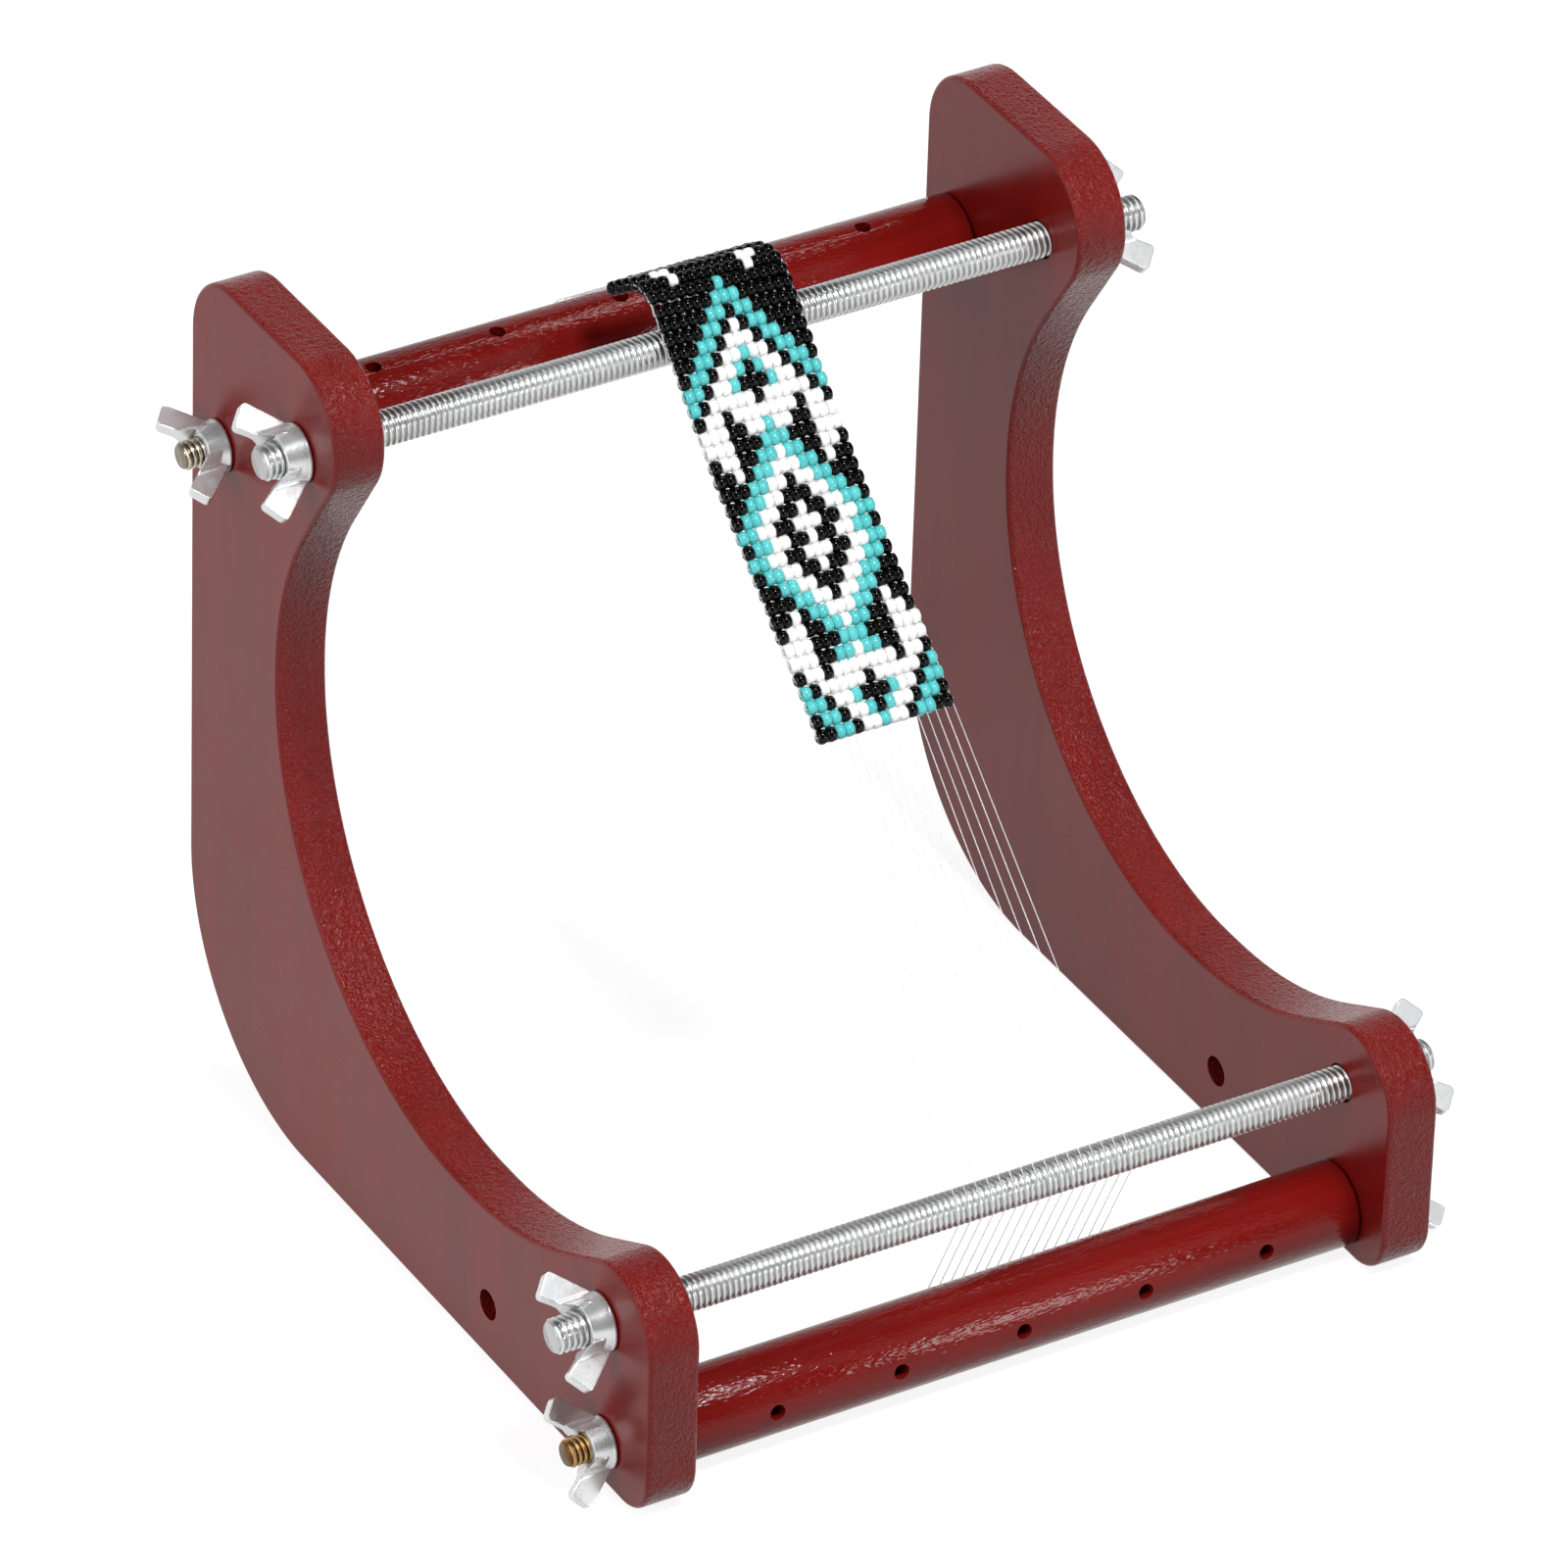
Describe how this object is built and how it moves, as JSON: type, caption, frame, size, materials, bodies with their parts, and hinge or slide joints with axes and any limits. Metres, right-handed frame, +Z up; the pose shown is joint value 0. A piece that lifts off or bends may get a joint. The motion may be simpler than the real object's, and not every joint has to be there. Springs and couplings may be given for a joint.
{
  "type": "bead loom",
  "caption": "Table-top bead loom: two curved wooden side panels joined by threaded rods and turning rollers, with wing nuts, warp threads and a bead strip in progress.",
  "frame": {"origin": "on the table, midway between the two side panels and midway between their front and back edges", "axes": "+X along the rods and rollers, from the left panel to the right one; -Y towards the worker; +Z up"},
  "size_m": [0.2168, 0.2, 0.2],
  "materials": {
    "lacquered_wood": "red satin lacquer over fine grain",
    "zinc_steel": "bright zinc plate",
    "dull_bronze": "dull nickel bronze",
    "brass": "golden brown with dark thread roots",
    "beads": "opaque gloss in black, white and turquoise",
    "nylon_thread": "clear to white nylon"
  },
  "bodies": {
    "frame": {"left_side_panel": "lacquered_wood", "right_side_panel": "lacquered_wood", "bead_strip": "beads", "lower_warp_01": "nylon_thread", "lower_warp_02": "nylon_thread", "lower_warp_03": "nylon_thread", "lower_warp_04": "nylon_thread", "lower_warp_05": "nylon_thread", "lower_warp_06": "nylon_thread", "lower_warp_07": "nylon_thread", "lower_warp_08": "nylon_thread", "lower_warp_09": "nylon_thread", "lower_warp_10": "nylon_thread", "lower_warp_11": "nylon_thread", "lower_warp_12": "nylon_thread", "lower_warp_13": "nylon_thread", "lower_warp_14": "nylon_thread", "lower_warp_15": "nylon_thread", "lower_warp_16": "nylon_thread", "upper_warp_01": "nylon_thread", "upper_warp_02": "nylon_thread", "upper_warp_03": "nylon_thread", "upper_warp_04": "nylon_thread", "upper_warp_05": "nylon_thread", "upper_warp_06": "nylon_thread", "upper_warp_07": "nylon_thread", "upper_warp_08": "nylon_thread", "upper_warp_09": "nylon_thread", "upper_warp_10": "nylon_thread", "upper_warp_11": "nylon_thread", "upper_warp_12": "nylon_thread", "upper_warp_13": "nylon_thread", "upper_warp_14": "nylon_thread", "upper_warp_15": "nylon_thread", "upper_warp_16": "nylon_thread"},
    "upper_roller_body": {"upper_roller": "lacquered_wood", "upper_left_roller_stud": "dull_bronze", "upper_right_roller_stud": "dull_bronze"},
    "lower_roller_body": {"lower_roller": "lacquered_wood", "lower_left_roller_stud": "brass", "lower_right_roller_stud": "brass"},
    "upper_rod_body": {"upper_threaded_rod": "zinc_steel"},
    "lower_rod_body": {"lower_threaded_rod": "zinc_steel"},
    "upper_left_rod_nut_body": {"upper_left_rod_wing_nut": "zinc_steel"},
    "upper_right_rod_nut_body": {"upper_right_rod_wing_nut": "zinc_steel"},
    "lower_left_rod_nut_body": {"lower_left_rod_wing_nut": "zinc_steel"},
    "lower_right_rod_nut_body": {"lower_right_rod_wing_nut": "zinc_steel"},
    "upper_left_stud_nut_body": {"upper_left_stud_wing_nut": "zinc_steel"},
    "upper_right_stud_nut_body": {"upper_right_stud_wing_nut": "zinc_steel"},
    "lower_left_stud_nut_body": {"lower_left_stud_wing_nut": "zinc_steel"},
    "lower_right_stud_nut_body": {"lower_right_stud_wing_nut": "zinc_steel"}
  },
  "joints": [
    {"name": "upper_roller_turn", "type": "hinge", "parent": "frame", "child": "upper_roller_body", "pos_m": [0, 0.08685, 0.1603], "axis": [1, 0, 0], "continuous": true},
    {"name": "lower_roller_turn", "type": "hinge", "parent": "frame", "child": "lower_roller_body", "pos_m": [0, -0.0824, 0.0108], "axis": [1, 0, 0], "continuous": true},
    {"name": "upper_rod_turn", "type": "hinge", "parent": "frame", "child": "upper_rod_body", "pos_m": [0, 0.0525, 0.178], "axis": [1, 0, 0], "continuous": true},
    {"name": "lower_rod_turn", "type": "hinge", "parent": "frame", "child": "lower_rod_body", "pos_m": [0, -0.0804, 0.04055], "axis": [1, 0, 0], "continuous": true},
    {"name": "upper_left_rod_nut_turn", "type": "hinge", "parent": "upper_rod_body", "child": "upper_left_rod_nut_body", "pos_m": [-0.0988, 0.0525, 0.178], "axis": [1, 0, 0], "continuous": true},
    {"name": "upper_right_rod_nut_turn", "type": "hinge", "parent": "upper_rod_body", "child": "upper_right_rod_nut_body", "pos_m": [0.0988, 0.0525, 0.178], "axis": [1, 0, 0], "continuous": true},
    {"name": "lower_left_rod_nut_turn", "type": "hinge", "parent": "lower_rod_body", "child": "lower_left_rod_nut_body", "pos_m": [-0.0988, -0.0804, 0.04055], "axis": [1, 0, 0], "continuous": true},
    {"name": "lower_right_rod_nut_turn", "type": "hinge", "parent": "lower_rod_body", "child": "lower_right_rod_nut_body", "pos_m": [0.0988, -0.0804, 0.04055], "axis": [1, 0, 0], "continuous": true},
    {"name": "upper_left_stud_nut_turn", "type": "hinge", "parent": "upper_roller_body", "child": "upper_left_stud_nut_body", "pos_m": [-0.0988, 0.08685, 0.1603], "axis": [1, 0, 0], "continuous": true},
    {"name": "upper_right_stud_nut_turn", "type": "hinge", "parent": "upper_roller_body", "child": "upper_right_stud_nut_body", "pos_m": [0.0988, 0.08685, 0.1603], "axis": [1, 0, 0], "continuous": true},
    {"name": "lower_left_stud_nut_turn", "type": "hinge", "parent": "lower_roller_body", "child": "lower_left_stud_nut_body", "pos_m": [-0.0988, -0.0824, 0.0108], "axis": [1, 0, 0], "continuous": true},
    {"name": "lower_right_stud_nut_turn", "type": "hinge", "parent": "lower_roller_body", "child": "lower_right_stud_nut_body", "pos_m": [0.0988, -0.0824, 0.0108], "axis": [1, 0, 0], "continuous": true}
  ]
}
